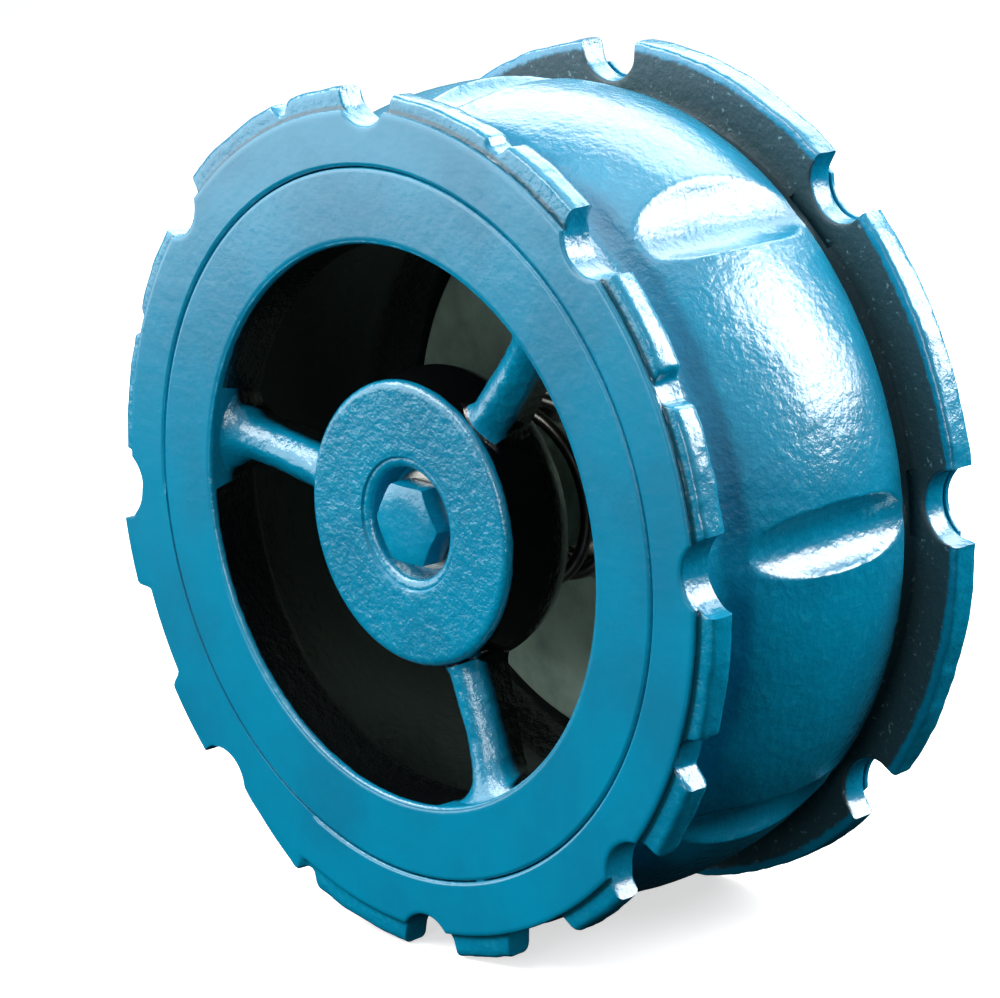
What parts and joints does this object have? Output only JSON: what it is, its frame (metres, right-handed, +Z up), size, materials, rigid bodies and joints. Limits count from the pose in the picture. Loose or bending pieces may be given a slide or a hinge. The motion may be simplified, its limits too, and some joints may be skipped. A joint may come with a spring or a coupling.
{
  "type": "wafer check valve",
  "caption": "Wafer check valve: a blue cast body with bolt-clearance notches in both rims, a spoked guide cage and a spring-closed disc that slides on a central pin.",
  "frame": {"origin": "on the flow axis, midway between the two gasket faces", "axes": "+Y along the flow axis from the outlet (guide cage) face towards the inlet face, so the flow runs along -Y; +Z up, with one bolt notch of each rim at the very bottom; +X to the right of a viewer who faces the outlet"},
  "size_m": [0.2118, 0.09, 0.212],
  "materials": {
    "blue_paint": "gloss",
    "disc_steel": "satin",
    "zinc_steel": "satin",
    "spring_steel": "polished",
    "seat_bronze": "satin",
    "black_rubber": "matte"
  },
  "bodies": {
    "body_assembly": {"valve_body": "blue_paint", "guide_cage": "blue_paint", "cage_locking_pin": "blue_paint", "guide_bolt": "blue_paint", "bolt_lock_washer": "zinc_steel", "guide_pin": "zinc_steel", "front_spring_seat": "zinc_steel", "closing_spring": "spring_steel", "seat_ring": "seat_bronze", "seat_o_ring": "black_rubber", "seat_circlip": "spring_steel"},
    "disc_assembly": {"valve_disc": "disc_steel", "guide_bush": "seat_bronze", "rear_spring_seat": "zinc_steel", "disc_seal_ring": "black_rubber", "seal_retainer": "disc_steel", "retainer_screw_1": "zinc_steel", "retainer_screw_2": "zinc_steel", "retainer_screw_3": "zinc_steel", "retainer_screw_4": "zinc_steel", "retainer_screw_5": "zinc_steel", "retainer_screw_6": "zinc_steel"}
  },
  "joints": [
    {"name": "disc_lift", "type": "slide", "parent": "body_assembly", "child": "disc_assembly", "axis": [0, -1, 0], "range_m": [0, 0.018], "stiffness_N_per_m": 1000, "springref_m": -0.0245, "deforming": ["closing_spring"]}
  ]
}
